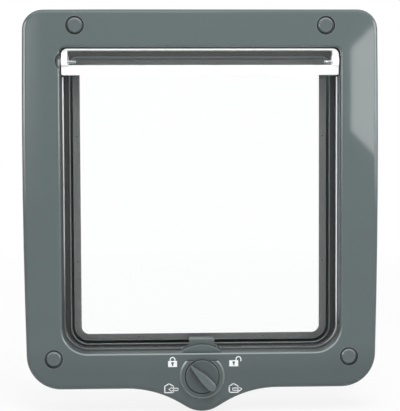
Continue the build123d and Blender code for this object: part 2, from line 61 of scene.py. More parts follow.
# Camera that matches the photo: degrees, metres, pixels and millimetres of sensor
CAMERA_AZIMUTH = -2.008
CAMERA_ELEVATION = 2.544
CAMERA_ROLL = -0.231
CAMERA_DISTANCE = 0.9086
CAMERA_TARGET = Vector((0.0, -0.010, 0.0))
FOCAL_PIXELS = 1074.4
CENTRE_PIXELS = (201.07, 199.79)
PHOTO_WIDTH = 400
PHOTO_HEIGHT = 411
SENSOR = 36.0

# Plain colours, linear
GREY = (0.092, 0.121, 0.121)
CAP_GREY = (0.094, 0.118, 0.122)
DIAL_GREY = (0.065, 0.084, 0.086)
GRIP_GREY = (0.100, 0.124, 0.125)
RING_GREY = (0.084, 0.090, 0.088)
SLEEVE_GREY = (0.076, 0.086, 0.085)
LOCK_GREY = (0.082, 0.104, 0.103)
BUSH_GREY = (0.110, 0.130, 0.130)
RUBBER = (0.032, 0.034, 0.034)
# Painted highlight on the seal's bead
RUBBER_BEAD_HIGHLIGHT = (0.086, 0.090, 0.088)
# Pale edges: wear that is partly a painted highlight; on the room-side frame, its painted highlights
PALE_WEAR_AND_HIGHLIGHT = (0.40, 0.43, 0.44)
# Painted highlight on the sleeve's lip and on the caps' bevels
HIGHLIGHT_WHITE = (0.90, 0.92, 0.92)
# Painted shade: gaps, hollows, the opening's walls and low parts are darkened towards this
PAINTED_SHADE_COLOUR = (0.012, 0.014, 0.014)
STEEL = (0.30, 0.31, 0.32)
# Clear acrylic's tint, also the painted white and glow of the header's rims
ACRYLIC = (0.985, 0.995, 0.992)
WHITE_INK = (0.86, 0.88, 0.88)
FLOOR_WHITE = (0.75, 0.75, 0.75)
FILL_WHITE = (0.93, 0.96, 1.0)

# Finish of each plastic and of the rubber: roughness and strength of the grain
FRAME_FINISH = (0.045, 0.01)
GARDEN_FINISH = (0.12, 0.02)
SLEEVE_FINISH = (0.25, 0.06)
CAP_FINISH = (0.06, 0.01)
DIAL_FINISH = (0.2, 0.06)
BUSH_FINISH = (0.38, 0.2)
LOCK_FINISH = (0.32, 0.2)
RUBBER_FINISH = (0.45, 0.4)

# Fine texture: noise scales, noise detail, how far colours and roughness vary, relief in metres
CLOUD_SCALE = 22.0
GRAIN_SCALE = 900.0
INK_SCALE = 700.0
STEEL_SCALE = 1500.0
RIPPLE_SCALE = 260.0
HAZE_SCALE = 60.0
FLOOR_SCALE = 8.0
SMOOTH_DETAIL = 2.0
FINE_DETAIL = 3.0
CLOUD_DETAIL = 4.0
NOISE_MIDDLE = (0.3, 0.7)
PLASTIC_MOTTLE = 0.05
INK_MOTTLE = 0.03
STEEL_MOTTLE = 0.08
FLOOR_MOTTLE = 0.005
PLASTIC_SPREAD = 0.15
INK_ROUGHNESS = (0.45, 0.55)
STEEL_ROUGHNESS = (0.28, 0.40)
ACRYLIC_ROUGHNESS = (0.01, 0.03)
FLOOR_ROUGHNESS = 0.9
GRAIN_HEIGHT = 0.00003

# Clear flap: header rims painted white, the top and end rims glowing, for light piped through their thick edges,
# round a clear window, in metres, and what light passes
HEADER_HEIGHT = 0.0218
HEADER_TOP_RIM = 0.0008
HEADER_END_RIM = 0.0044
HEADER_BOTTOM_RIM = 0.0081
RIM_CLARITY = (0.0, 0.2)
RIM_GLOW = 0.4
SHEET_SHADE = 0.92
HEADER_SHADE = 0.62
ACRYLIC_IOR = 1.33

# Worn edges, partly a painted highlight, and painted shade in gaps: reach in metres, openness that brings it,
# share of its colour
WEAR_AND_HIGHLIGHT_REACH = 0.0009
WEAR_AND_HIGHLIGHT_OPENNESS = (0.5, 0.9)
WEAR_AND_HIGHLIGHT_SHARE = 0.3
CREVICE_SHADE_REACH = 0.0045
CREVICE_SHADE_OPENNESS = (0.3, 0.95)
CREVICE_SHADE_SHARE = 0.85
CAP_WEAR_AND_HIGHLIGHT_SHARE = 0.5
CAP_CREVICE_SHADE_SHARE = 0.25
COVER_SAMPLES = 8

# Room-side frame: the opening, the painted highlights on its edges and walls, and the painted shade, which also
# dulls the gloss, on its walls and low down, in metres
OPENING_HALF_WIDTH = 0.11775
OPENING_TOP = 0.1280
OPENING_BOTTOM = -0.1290
OPENING_RADIUS = 0.022
BEZEL_FRONT = -0.0181
EDGE_WIDTH = 0.0013
# Painted highlight on the opening's front edge: how far back it reaches, and its share at the bottom and higher up
EDGE_DEPTH = -0.0174
EDGE_HIGHLIGHT_SHARE = (0.6, 0.06)
# Walls inside the opening, where painted shade lies: the depth it starts at, where its front part ends, and its
# share
WALL_DEPTH = -0.0166
WALL_BACK_DEPTH = -0.0100
WALL_SHADE_SHARE = 0.7
# Painted highlight on the back of the opening's right wall: how deep it starts and how it fades low down
RIM_BACK_DEPTH = -0.0085
RIM_BACK_FADE = (-0.108, -0.096)
HEADER_BESIDE = (0.1045, 0.1055)
# Painted light on the opening's walls beside the header: its share
HEADER_BESIDE_LIGHT_SHARE = 0.7
# Painted shade on the walls: where it ends low down, and where it starts beside the lock
LEDGE_FADE = (-0.112, -0.104)
LEDGE_START = 0.0165
# Painted shade low down on the frame: its fade and its share from left to right
LOW_SHADE_FADE = (-0.145, -0.122)
LOW_SHADE_SHARE = (0.16, 0.26)
# Painted highlight on the bevel of the ring round the dial: its reach from the axis and its share
DIAL_RING_RADIUS = (0.0176, 0.0193)
DIAL_RING_HIGHLIGHT_SHARE = 0.38
# Painted highlight in the notch beside the left hinge: where it lies
NOTCH_SPOT_X = (-0.1192, -0.1176)
NOTCH_SPOT_Z = (0.1125, 0.1180)
NOTCH_SPOT_DEPTH = -0.0150

# Other pieces: where their second colour lies, in metres, and shares of a cap's radius
# Painted highlight on the sleeve's lip: where it lies, how each side fades and rises, and its shares
LIP_DEPTH = -0.0019
LIP_HALF_WIDTH = 0.1168
LIP_LEFT_FADE = (-0.088, -0.030)
LIP_LEFT_RISE = (0.02, 0.10)
LIP_LEFT_SHARE = (0.42, 0.9)
LIP_RIGHT_FADE = (-0.125, -0.092)
# Painted highlight on the seal's bead: how far it reaches
BEAD_DEPTH = 0.0066
RING_DEPTH = 0.0160
# Painted shade on the tunnel's front ring low down: its fade and its share
RING_SHADE_FADE = (-0.1180, -0.1120)
RING_SHADE_SHARE = 0.25
GRIP_DEPTH = -0.0219
GLINT_REACH = (0.76, 0.94)
GLINT_FADE = (0.1, 0.6)
GLINT_SHARE = 0.16

# Printed signs round the dial, from its axis, in metres, and the keyhole's rows as shares of the padlock
INK_LIFT = 0.00004
INK_STEP = 0.0006
INK_LINE = 0.0009
INK_RAY_GAP = 0.0015
LOCKED_PLACE = (-0.0249, 0.0106)
OPEN_PLACE = (0.0268, 0.0107)
IN_PLACE = (-0.0279, -0.0110)
OUT_PLACE = (0.0266, -0.0114)
PADLOCK_WIDTH = 0.0076
PADLOCK_HEIGHT = 0.0052
KEYHOLE_WIDE = INK_LINE * 1.2
KEYHOLE_NARROW = INK_LINE * 0.65
KEYHOLE_ROWS = (0.18, 0.52, 0.80)
SHACKLE_RADIUS = 0.0020
SHACKLE_RISE = 0.0010
SHACKLE_SHIFT = 0.0040
SHACKLE_PARTS = 12
HOUSE_WIDTH = 0.0073
HOUSE_WALL = 0.0054
HOUSE_ROOF = 0.0022
ARROW_LENGTH = 0.0079
ARROW_HEAD = 0.0024
ARROW_SPAN = 0.0034
ARROW_SHAFT = 0.0020
ARROW_LINE = INK_LINE * 0.8
IN_ARROW_TIP = -0.0003
OUT_ARROW_TIP = 0.0071

# Floor and studio: metres, and how white the floor is near the object and far away
FLOOR_GAP = 0.0015
FLOOR_HALF = 9.0
FLOOR_FADE = (0.2, 1.6)
FLOOR_SHARE = (0.88, 1.0)
FILL_STRENGTH = 0.22

# Lamps: place and size in metres, brightness, and the share of a card's height over which it fades in
ORIGIN = (0.0, 0.0, 0.0)
KEY_PLACE = (0.22, -0.76, 0.97)
KEY_SIZE = (0.75, 0.75)
KEY_BRIGHTNESS = 8.0
TOP_PLACE = (0.0, -0.35, 1.25)
TOP_SIZE = (0.8, 0.4)
TOP_BRIGHTNESS = 6.0
REAR_PLACE = (-0.6, 1.1, 0.9)
REAR_SIZE = (0.8, 0.8)
REAR_BRIGHTNESS = 4.0
SOFT_BOX_PLACE = (0.518, -1.17, 0.159)
SOFT_BOX_SIZE = (0.38, 0.38)
SOFT_BOX_BRIGHTNESS = 5.0
SOFT_BOX_CUT = math.sqrt(0.5)
FACE_MIDDLE = 0.5
HIGH_CARD_PLACE = (-0.3, -0.7, 1.0)
HIGH_CARD_SIZE = (0.9, 0.6)
HIGH_CARD_BRIGHTNESS = 1.5
SHEEN_CARD_PLACE = (-0.295, -1.17, 0.13)
SHEEN_CARD_SIZE = (0.07, 0.40)
SHEEN_CARD_BRIGHTNESS = 4.2
SHEEN_CARD_RISE = 1.0
SIDE_CARD_PLACE = (0.9, -0.5, 0.25)
SIDE_CARD_SIZE = (0.8, 0.64)
SIDE_CARD_BRIGHTNESS = 6.5
SIDE_CARD_RISE = 0.3

# Sockets of a colour mix node
MIX_SHARE = 0
MIX_FIRST = 6
MIX_SECOND = 7
MIX_RESULT = 2


def rgba(colour):
    """Return a plain colour with full cover."""
    return list(colour) + [1.0]


def material(name):
    """Return a new node material, its tree and its shader."""
    made = bpy.data.materials.new(name)
    made.use_nodes = True
    tree = made.node_tree
    return made, tree, tree.nodes["Principled BSDF"]


def maths(tree, operation, *values):
    """Return the result of one operation on numbers or node outputs."""
    node = tree.nodes.new("ShaderNodeMath")
    node.operation = operation
    for socket, value in zip(node.inputs, values):
        if isinstance(value, float):
            socket.default_value = value
        else:
            tree.links.new(value, socket)
    return node.outputs[0]


def product(tree, first, *others):
    """Multiply values."""
    for other in others:
        first = maths(tree, "MULTIPLY", first, other)
    return first


def largest(tree, first, *others):
    """Return the largest of some values."""
    for other in others:
        first = maths(tree, "MAXIMUM", first, other)
    return first


def above(tree, source, limit):
    """Return 1 where a value lies above a limit."""
    return maths(tree, "GREATER_THAN", source, limit)


def below(tree, source, limit):
    """Return 1 where a value lies below a limit."""
    return maths(tree, "LESS_THAN", source, limit)


def between(tree, source, low, high):
    """Return 1 where a value lies between two limits."""
    return product(tree, above(tree, source, low), below(tree, source, high))


def past(tree, source, limit):
    """Return how far a value lies past a limit, or 0."""
    return maths(tree, "MAXIMUM", maths(tree, "SUBTRACT", source, limit), 0.0)


def squared(tree, first, second):
    """Return the square of the distance that two values give."""
    return maths(tree, "ADD", product(tree, first, first), product(tree, second, second))


def ranged(tree, source, from_range, to_range):
    """Map one range of a value to another, and hold it at the ends."""
    ramp = tree.nodes.new("ShaderNodeMapRange")
    for socket, value in zip(("From Min", "From Max", "To Min", "To Max"), (*from_range, *to_range)):
        ramp.inputs[socket].default_value = value
    tree.links.new(source, ramp.inputs["Value"])
    return ramp.outputs["Result"]


def noise(tree, scale, detail):
    """Return a noise in the piece's own space."""
    place = tree.nodes.new("ShaderNodeTexCoord")
    texture = tree.nodes.new("ShaderNodeTexNoise")
    texture.inputs["Scale"].default_value = scale
    texture.inputs["Detail"].default_value = detail
    tree.links.new(place.outputs["Object"], texture.inputs["Vector"])
    return texture.outputs["Fac"]


def relief(tree, source, strength, shader):
    """Give a shader fine relief from a noise."""
    bump = tree.nodes.new("ShaderNodeBump")
    bump.inputs["Strength"].default_value = strength
    bump.inputs["Distance"].default_value = GRAIN_HEIGHT
    tree.links.new(source, bump.inputs["Height"])
    tree.links.new(bump.outputs["Normal"], shader.inputs["Normal"])


def tinted(tree, source, colour, mottle):
    """Return a colour that varies slightly with a noise."""
    tint = tree.nodes.new("ShaderNodeMix")
    tint.data_type = "RGBA"
    tint.inputs[MIX_FIRST].default_value = rgba([c * (1 - mottle) for c in colour])
    tint.inputs[MIX_SECOND].default_value = rgba([c * (1 + mottle) for c in colour])
    tree.links.new(source, tint.inputs[MIX_SHARE])
    return tint.outputs[MIX_RESULT]


def mixed(tree, share, first, second):
    """Blend a colour that a node gives towards a plain colour."""
    blend = tree.nodes.new("ShaderNodeMix")
    blend.data_type = "RGBA"
    blend.inputs[MIX_SECOND].default_value = rgba(second)
    tree.links.new(first, blend.inputs[MIX_FIRST])
    tree.links.new(share, blend.inputs[MIX_SHARE])
    return blend.outputs[MIX_RESULT]


def openness(tree, reach, inside):
    """Return how open the space round a point is within a reach, outside the piece or inside it."""
    cover = tree.nodes.new("ShaderNodeAmbientOcclusion")
    cover.samples = COVER_SAMPLES
    cover.inside = inside
    cover.only_local = inside
    cover.inputs["Distance"].default_value = reach
    return cover.outputs["AO"]


def axes(tree, source):
    """Split a place into its three values."""
    split = tree.nodes.new("ShaderNodeSeparateXYZ")
    tree.links.new(source, split.inputs[0])
    return split.outputs


def place_axes(tree):
    """Return a point's place across, its distance from the middle plane, its depth and its height."""
    place = tree.nodes.new("ShaderNodeTexCoord")
    split = axes(tree, place.outputs["Object"])
    across = maths(tree, "ABSOLUTE", split["X"])
    return SimpleNamespace(sideways=split["X"], across=across, depth=split["Y"], height=split["Z"])


def moulded(name, colour, finish, second=None, mask=None, shade_mask=None, cap=False):
    """Return a grained plastic or rubber with worn edges that are partly painted highlight, painted shade in gaps
    and from a shade mask, and, where a mask says, a second colour.
    """
    made, tree, shader = material(name)
    roughness, grain = finish
    cloud = noise(tree, CLOUD_SCALE, CLOUD_DETAIL)
    shade = tinted(tree, cloud, colour, PLASTIC_MOTTLE)
    rough_range = (roughness * (1 - PLASTIC_SPREAD), roughness * (1 + PLASTIC_SPREAD))
    sheen = ranged(tree, cloud, NOISE_MIDDLE, rough_range)
    if mask:
        shade = mixed(tree, mask(tree), shade, second)
    wear_and_highlight_share = CAP_WEAR_AND_HIGHLIGHT_SHARE if cap else WEAR_AND_HIGHLIGHT_SHARE
    crevice_shade_share = CAP_CREVICE_SHADE_SHARE if cap else CREVICE_SHADE_SHARE
    # Worn edges, partly a painted highlight where edges catch light
    wear_and_highlight = ranged(tree, openness(tree, WEAR_AND_HIGHLIGHT_REACH, True), WEAR_AND_HIGHLIGHT_OPENNESS, (wear_and_highlight_share, 0.0))
    shade = mixed(tree, wear_and_highlight, shade, PALE_WEAR_AND_HIGHLIGHT)
    # Painted shade: darker where gaps and hollows close in round a point
    painted_shade_share = ranged(tree, openness(tree, CREVICE_SHADE_REACH, False), CREVICE_SHADE_OPENNESS, (crevice_shade_share, 0.0))
    # Painted shade from the piece's own mask, which also dulls the gloss there
    if shade_mask:
        shade_and_dullness = shade_mask(tree)
        painted_shade_share = largest(tree, painted_shade_share, shade_and_dullness)
        sheen = largest(tree, sheen, shade_and_dullness)
    shade = mixed(tree, painted_shade_share, shade, PAINTED_SHADE_COLOUR)
    tree.links.new(shade, shader.inputs["Base Color"])
    tree.links.new(sheen, shader.inputs["Roughness"])
    relief(tree, noise(tree, GRAIN_SCALE, FINE_DETAIL), grain, shader)
    return made


def printed():
    """Return matt white ink of a slightly uneven cover."""
    made, tree, shader = material("white ink")
    cloud = noise(tree, INK_SCALE, FINE_DETAIL)
    tree.links.new(tinted(tree, cloud, WHITE_INK, INK_MOTTLE), shader.inputs["Base Color"])
    tree.links.new(ranged(tree, cloud, NOISE_MIDDLE, INK_ROUGHNESS), shader.inputs["Roughness"])
    return made


def plated_steel():
    """Return plated steel with fine wear."""
    made, tree, shader = material("plated steel")
    shader.inputs["Metallic"].default_value = 1.0
    grain = noise(tree, STEEL_SCALE, SMOOTH_DETAIL)
    tree.links.new(tinted(tree, grain, STEEL, STEEL_MOTTLE), shader.inputs["Base Color"])
    tree.links.new(ranged(tree, grain, NOISE_MIDDLE, STEEL_ROUGHNESS), shader.inputs["Roughness"])
    return made


def header_masks(tree):
    """Return 1 on the header's rims, on the whole header, and on the rims round its window."""
    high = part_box("flap_panel")[1]
    at = place_axes(tree)
    header_low = high.z - HEADER_HEIGHT
    header = above(tree, at.height, header_low)
    ends = above(tree, at.across, high.x - HEADER_END_RIM)
    top = above(tree, at.height, high.z - HEADER_TOP_RIM)
    bottom = below(tree, at.height, header_low + HEADER_BOTTOM_RIM)
    upper = largest(tree, ends, top)
    rim = product(tree, header, largest(tree, upper, bottom))
    glow = product(tree, above(tree, at.height, header_low + HEADER_BOTTOM_RIM), upper)
    return rim, header, glow


def clear_acrylic():
    """Return clear acrylic whose thick header rims glow white, with no dark shadow."""
    made, tree, shader = material("clear acrylic")
    rim, header, glow = header_masks(tree)
    shader.inputs["Base Color"].default_value = rgba(ACRYLIC)
    shader.inputs["Emission Color"].default_value = rgba(ACRYLIC)
    shader.inputs["IOR"].default_value = ACRYLIC_IOR
    # Painted light: the rims are white and the top and end rims glow, for light piped through the thick acrylic
    # edges
    tree.links.new(product(tree, glow, RIM_GLOW), shader.inputs["Emission Strength"])
    ripple = ranged(tree, noise(tree, RIPPLE_SCALE, SMOOTH_DETAIL), NOISE_MIDDLE, RIM_CLARITY)
    clear = ranged(tree, rim, (0.0, 1.0), (1.0, 0.0))
    tree.links.new(largest(tree, clear, ripple), shader.inputs["Transmission Weight"])
    haze = ranged(tree, noise(tree, HAZE_SCALE, SMOOTH_DETAIL), NOISE_MIDDLE, ACRYLIC_ROUGHNESS)
    tree.links.new(haze, shader.inputs["Roughness"])
    rays = tree.nodes.new("ShaderNodeLightPath")
    passing = tree.nodes.new("ShaderNodeBsdfTransparent")
    shade = ranged(tree, header, (0.0, 1.0), (SHEET_SHADE, HEADER_SHADE))
    tree.links.new(shade, passing.inputs["Color"])
    blend = tree.nodes.new("ShaderNodeMixShader")
    tree.links.new(rays.outputs["Is Shadow Ray"], blend.inputs["Fac"])
    tree.links.new(shader.outputs["BSDF"], blend.inputs[1])
    tree.links.new(passing.outputs["BSDF"], blend.inputs[2])
    tree.links.new(blend.outputs["Shader"], tree.nodes["Material Output"].inputs["Surface"])
    return made


def opening_place(tree):
    """Return a point's place, and as near a 1 within the opening's rounded outline and its edge."""
    at = place_axes(tree)
    middle = (OPENING_TOP + OPENING_BOTTOM) / 2
    half_height = (OPENING_TOP - OPENING_BOTTOM) / 2
    away = maths(tree, "ABSOLUTE", maths(tree, "SUBTRACT", at.height, middle))
    past_x = past(tree, at.across, OPENING_HALF_WIDTH - OPENING_RADIUS)
    past_z = past(tree, away, half_height - OPENING_RADIUS)
    at.near = below(tree, squared(tree, past_x, past_z), (OPENING_RADIUS + EDGE_WIDTH) ** 2)
    return at


def opening_edge_highlight(tree, at):
    """Return the painted highlight on the opening's front edge, strongest along the bottom."""
    front = below(tree, at.depth, EDGE_DEPTH)
    share = ranged(tree, at.height, (OPENING_BOTTOM, OPENING_BOTTOM + OPENING_RADIUS), EDGE_HIGHLIGHT_SHARE)
    return product(tree, at.near, front, share)


def wall_back_highlight(tree, at):
    """Return 1 on the painted highlight at the back of the opening's right wall, fading low down."""
    right = above(tree, at.sideways, 0.0)
    deep = above(tree, at.depth, RIM_BACK_DEPTH)
    fade = ranged(tree, at.height, RIM_BACK_FADE, (0.0, 1.0))
    return product(tree, at.near, right, deep, fade)


def header_side_light(tree, at):
    """Return the painted light on the opening's walls beside the header."""
    behind = above(tree, at.depth, WALL_DEPTH)
    outward = above(tree, at.across, OPENING_HALF_WIDTH - EDGE_WIDTH)
    share = ranged(tree, at.height, HEADER_BESIDE, (0.0, HEADER_BESIDE_LIGHT_SHARE))
    return product(tree, at.near, behind, outward, share)


def dial_ring_highlight(tree, at):
    """Return the painted highlight on the bevel of the ring round the dial."""
    rise = maths(tree, "SUBTRACT", at.height, dial_axis.z)
    away = squared(tree, at.sideways, rise)
    ring = between(tree, away, DIAL_RING_RADIUS[0] ** 2, DIAL_RING_RADIUS[1] ** 2)
    raised = below(tree, at.depth, BEZEL_FRONT)
    return product(tree, ring, raised, DIAL_RING_HIGHLIGHT_SHARE)


def notch_highlight(tree, at):
    """Return 1 on the painted highlight in the notch beside the left hinge."""
    wide = between(tree, at.sideways, *NOTCH_SPOT_X)
    high = between(tree, at.height, *NOTCH_SPOT_Z)
    deep = above(tree, at.depth, NOTCH_SPOT_DEPTH)
    return product(tree, wide, high, deep)


def frame_highlights(tree):
    """Return where the room-side frame carries painted highlights and painted light."""
    at = opening_place(tree)
    zones = [zone(tree, at) for zone in (opening_edge_highlight, dial_ring_highlight, wall_back_highlight, header_side_light, notch_highlight)]
    return largest(tree, *zones)


def frame_painted_shade(tree):
    """Return the frame's painted shade, which also dulls its gloss: on the walls inside the opening, and low down.
    """
    at = opening_place(tree)
    behind = above(tree, at.depth, WALL_DEPTH)
    front_part = below(tree, at.depth, WALL_BACK_DEPTH)
    left = below(tree, at.sideways, 0.0)
    ledge = ranged(tree, at.height, LEDGE_FADE, (1.0, 0.0))
    shaded = largest(tree, front_part, left, ledge)
    under_header = ranged(tree, at.height, HEADER_BESIDE, (1.0, 0.0))
    beside_lock = above(tree, at.across, LEDGE_START)
    wall = product(tree, at.near, behind, shaded, under_header, beside_lock, WALL_SHADE_SHARE)
    low = ranged(tree, at.height, LOW_SHADE_FADE, (1.0, 0.0))
    share = ranged(tree, at.sideways, (-OPENING_HALF_WIDTH, OPENING_HALF_WIDTH), LOW_SHADE_SHARE)
    return largest(tree, wall, product(tree, low, share))


def sleeve_lip_highlight(tree):
    """Return the painted highlight on the sleeve's rounded lip: its two sides, each fading downwards in its own
    way.
    """
    at = place_axes(tree)
    front = below(tree, at.depth, LIP_DEPTH)
    inner = below(tree, at.across, LIP_HALF_WIDTH)
    left_fade = ranged(tree, at.height, LIP_LEFT_FADE, (0.0, 1.0))
    left_rise = ranged(tree, at.height, LIP_LEFT_RISE, LIP_LEFT_SHARE)
    left = product(tree, below(tree, at.sideways, 0.0), left_fade, left_rise)
    right_fade = ranged(tree, at.height, LIP_RIGHT_FADE, (0.0, 1.0))
    right = product(tree, above(tree, at.sideways, 0.0), right_fade)
    return product(tree, front, inner, largest(tree, left, right))


def seal_bead_highlight(tree):
    """Return 1 on the seal's bead, where a painted highlight lies."""
    return below(tree, place_axes(tree).depth, BEAD_DEPTH)


def tunnel_ring(tree):
    """Return 1 on the ring at the tunnel's front."""
    return below(tree, place_axes(tree).depth, RING_DEPTH)


def ring_painted_shade(tree):
    """Return the painted shade on the tunnel's front ring low down, which also dulls its gloss."""
    at = place_axes(tree)
    low = ranged(tree, at.height, RING_SHADE_FADE, (RING_SHADE_SHARE, 0.0))
    return product(tree, below(tree, at.depth, RING_DEPTH), low)


def dial_grip(tree):
    """Return 1 on the dial's grip."""
    return below(tree, place_axes(tree).depth, GRIP_DEPTH)


def bevel_glint(node):
    """Return a mask that paints a light crescent on the upper side of a cap's bevel."""
    low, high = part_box(node)
    middle = (Vector(low) + Vector(high)) / 2
    radius = (high.x - low.x) / 2
    inner, outer = [(radius * share) ** 2 for share in GLINT_REACH]
    fade = [radius * share for share in GLINT_FADE]

    def mask(tree):
        at = place_axes(tree)
        away_x = maths(tree, "SUBTRACT", at.sideways, middle.x)
        away_z = maths(tree, "SUBTRACT", at.height, middle.z)
        bevel = between(tree, squared(tree, away_x, away_z), inner, outer)
        return product(tree, bevel, ranged(tree, away_z, fade, (0.0, GLINT_SHARE)))

    return mask


# Materials by slot, and the pieces with a look of their own
white_ink = printed()
LOOKS = {
    "dial_grey": moulded("dial grey plastic", DIAL_GREY, DIAL_FINISH, GRIP_GREY, dial_grip),
    "bush_plastic": moulded("bush plastic", BUSH_GREY, BUSH_FINISH),
    "lock_plastic": moulded("lock plastic", LOCK_GREY, LOCK_FINISH),
    # Seal: a painted highlight on its bead
    "seal_rubber": moulded("seal rubber", RUBBER, RUBBER_FINISH, RUBBER_BEAD_HIGHLIGHT, seal_bead_highlight),
    "steel": plated_steel(),
    "clear_plastic": clear_acrylic(),
}
OWN_LOOKS = {
    # Room-side frame: painted highlights where its mask says, and painted shade, which also dulls it, on its walls
    # and low down
    "inner_frame": moulded("room frame plastic", GREY, FRAME_FINISH, PALE_WEAR_AND_HIGHLIGHT, frame_highlights, frame_painted_shade),
    # Sleeve: a painted highlight on its lip
    "door_collar": moulded("sleeve plastic", SLEEVE_GREY, SLEEVE_FINISH, HIGHLIGHT_WHITE, sleeve_lip_highlight),
    # Garden-side frame: its ring's own colour, and painted shade low down on the ring
    "outer_frame": moulded("garden frame plastic", GREY, GARDEN_FINISH, RING_GREY, tunnel_ring, ring_painted_shade),
}
for node in nodes:
    if node.startswith("screw_cap"):
        glint = bevel_glint(node)
        OWN_LOOKS[node] = moulded(f"{node} plastic", CAP_GREY, CAP_FINISH, HIGHLIGHT_WHITE, glint, cap=True)
for row in frame["record"]["subparts"]:
    mesh = nodes[row["node"]].data
    mesh.materials.clear()
    mesh.materials.append(OWN_LOOKS.get(row["node"]) or LOOKS[row["material_slot"]])


def bar(start, end, width):
    """Return a straight stroke as four corners."""
    start = Vector(start)
    end = Vector(end)
    along = (end - start).normalized()
    side = Vector((-along.y, along.x)) * width / 2
    return [start + side, start - side, end - side, end + side]


def loop(points, width):
    """Return strokes along a closed outline."""
    strokes = []
    for here, there in zip(points, points[1:] + points[:1]):
        along = (Vector(there) - Vector(here)).normalized() * width / 2
        strokes.append(bar(Vector(here) - along, Vector(there) + along, width))
    return strokes


def block(left, bottom, right, top):
    """Return an upright rectangle as four corners."""
    return [Vector((left, bottom)), Vector((right, bottom)), Vector((right, top)), Vector((left, top))]


def half_ring(centre, radius, width, parts):
    """Return the upper half of a ring as a chain of strokes."""
    strokes = []
    for k in range(parts):
        corners = []
        for turn, reach in ((k, -0.5), (k, 0.5), (k + 1, 0.5), (k + 1, -0.5)):
            angle = math.pi * turn / parts
            distance = radius + reach * width
            corners.append(Vector(centre) + Vector((math.cos(angle), math.sin(angle))) * distance)
        strokes.append(corners)
    return strokes


def padlock(open_shift):
    """Return a padlock with a keyhole, its shackle swung aside by a shift when it is open."""
    half = PADLOCK_WIDTH / 2
    low = -PADLOCK_HEIGHT / 2
    high = PADLOCK_HEIGHT / 2
    slot_low, slot_middle, slot_high = [low + PADLOCK_HEIGHT * share for share in KEYHOLE_ROWS]
    strokes = [
        block(-half, low, half, slot_low),
        block(-half, slot_low, -KEYHOLE_NARROW, slot_middle),
        block(KEYHOLE_NARROW, slot_low, half, slot_middle),
        block(-half, slot_middle, -KEYHOLE_WIDE, slot_high),
        block(KEYHOLE_WIDE, slot_middle, half, slot_high),
        block(-half, slot_high, half, high),
    ]
    bow = high + SHACKLE_RISE
    strokes += half_ring((open_shift, bow), SHACKLE_RADIUS, INK_LINE, SHACKLE_PARTS)
    free_foot = high - SHACKLE_RISE if open_shift else high
    for x, foot in ((open_shift - SHACKLE_RADIUS, high), (open_shift + SHACKLE_RADIUS, free_foot)):
        strokes.append(bar((x, bow), (x, foot), INK_LINE))
    return strokes


def house(tip):
    """Return a house outline and an outlined arrow that points one way, with its tip at a place."""
    half = HOUSE_WIDTH / 2
    low = -HOUSE_WALL / 2
    eaves = low + HOUSE_WALL
    walls = [(-half, low), (half, low), (half, eaves), (0, eaves + HOUSE_ROOF), (-half, eaves)]
    way = 1 if tip > 0 else -1
    neck = tip - way * ARROW_HEAD
    tail = tip - way * ARROW_LENGTH
    arrow = [
        (tip, 0),
        (neck, ARROW_SPAN / 2),
        (neck, ARROW_SHAFT / 2),
        (tail, ARROW_SHAFT / 2),
        (tail, -ARROW_SHAFT / 2),
        (neck, -ARROW_SHAFT / 2),
        (neck, -ARROW_SPAN / 2),
    ]
    return loop(walls, INK_LINE) + loop(arrow, ARROW_LINE)


def on_frame(place, point):
    """Return the spot on the front of the frame under one point of a sign."""
    x = dial_axis.x + place[0] + point.x
    z = dial_axis.z + place[1] + point.y
    start = Vector((x, cad_low.y - INK_RAY_GAP, z))
    spot = nodes["inner_frame"].ray_cast(start, Vector((0, 1, 0)))[1]
    return (x, spot.y - INK_LIFT, z)


def stamp(name, strokes, place):
    """Lay strokes on the front of the frame as a thin print that follows its surface."""
    verts = []
    faces = []
    for corners in strokes:
        long_side = max((corners[1] - corners[2]).length, (corners[0] - corners[3]).length)
        wide_side = max((corners[0] - corners[1]).length, (corners[3] - corners[2]).length)
        rows = max(1, math.ceil(long_side / INK_STEP))
        columns = max(1, math.ceil(wide_side / INK_STEP))
        first = len(verts)
        for i in range(rows + 1):
            left = corners[0].lerp(corners[3], i / rows)
            right = corners[1].lerp(corners[2], i / rows)
            for j in range(columns + 1):
                verts.append(on_frame(place, left.lerp(right, j / columns)))
        for i in range(rows):
            for j in range(columns):
                corner = first + i * (columns + 1) + j
                faces.append((corner, corner + 1, corner + columns + 2, corner + columns + 1))
    mesh = bpy.data.meshes.new(name)
    mesh.from_pydata(verts, [], faces)
    mesh.materials.append(white_ink)
    piece = bpy.data.objects.new(name, mesh)
    bpy.context.scene.collection.objects.link(piece)
    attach(piece, "frame")


stamp("sign_locked", padlock(0), LOCKED_PLACE)
stamp("sign_open", padlock(SHACKLE_SHIFT), OPEN_PLACE)
stamp("sign_in", house(IN_ARROW_TIP), IN_PLACE)
stamp("sign_out", house(OUT_ARROW_TIP), OUT_PLACE)


def white_to_camera(tree, shader_output, share, target):
    """Show plain white, or a share of it, to the camera and to what mirrors or bends its view."""
    rays = tree.nodes.new("ShaderNodeLightPath").outputs
    seen = largest(tree, rays["Is Camera Ray"], rays["Is Glossy Ray"], rays["Is Transmission Ray"])
    white = tree.nodes.new("ShaderNodeEmission")
    blend = tree.nodes.new("ShaderNodeMixShader")
    tree.links.new(product(tree, seen, share), blend.inputs["Fac"])
    tree.links.new(shader_output, blend.inputs[1])
    tree.links.new(white.outputs["Emission"], blend.inputs[2])
    tree.links.new(blend.outputs["Shader"], target)


